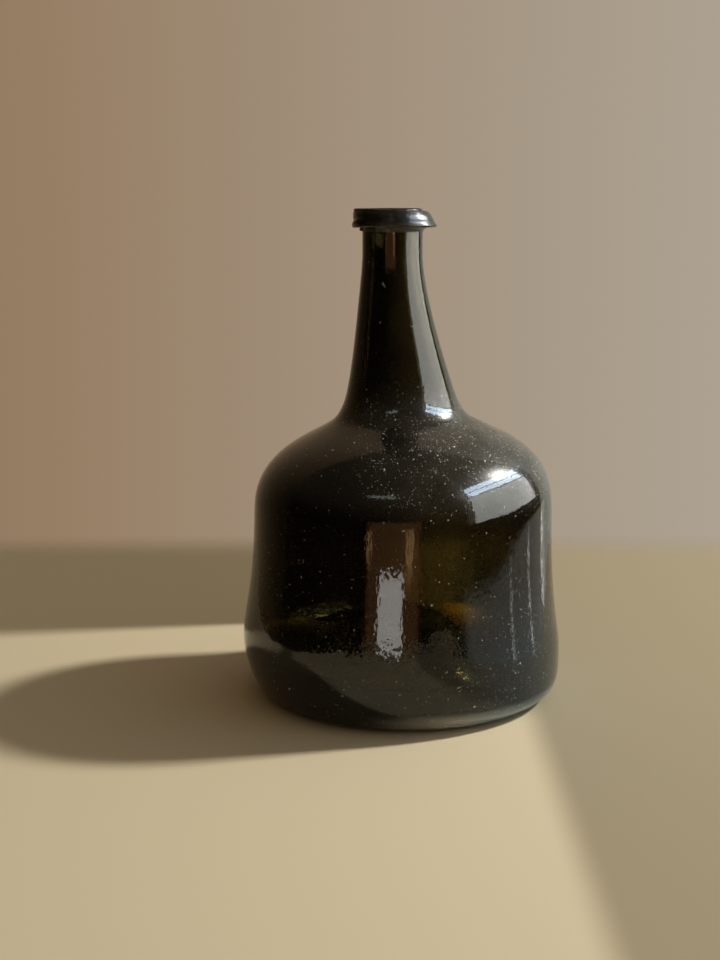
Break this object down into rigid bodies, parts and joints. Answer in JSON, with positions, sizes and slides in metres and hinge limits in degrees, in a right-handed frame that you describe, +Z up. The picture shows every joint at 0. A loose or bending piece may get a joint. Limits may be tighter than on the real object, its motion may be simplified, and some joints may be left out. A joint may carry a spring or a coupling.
{
  "type": "mallet bottle",
  "caption": "Free-blown dark olive glass mallet bottle with straight squat body, tapering neck, lapped string rim and pushed-up base, to hold and pour liquid.",
  "frame": {"origin": "on the floor, under the middle of the body, at the centre of the box of the whole bottle", "axes": "+Z up along the neck; -Y is the side that faces the camera in the picture; +X is to the right of that view"},
  "size_m": [0.1328, 0.1328, 0.2],
  "materials": {
    "olive_glass": "fire-polished free-blown dark olive glass with light wear, seeds and a faint ripple",
    "trail_glass": "tooled trail of the same dark olive glass, with a visible lap",
    "broken_glass": "rough, snapped glass residue of the pontil"
  },
  "bodies": {
    "root": {"bottle_body": "olive_glass", "string_rim": "trail_glass", "pontil_scar": "broken_glass"}
  },
  "joints": []
}
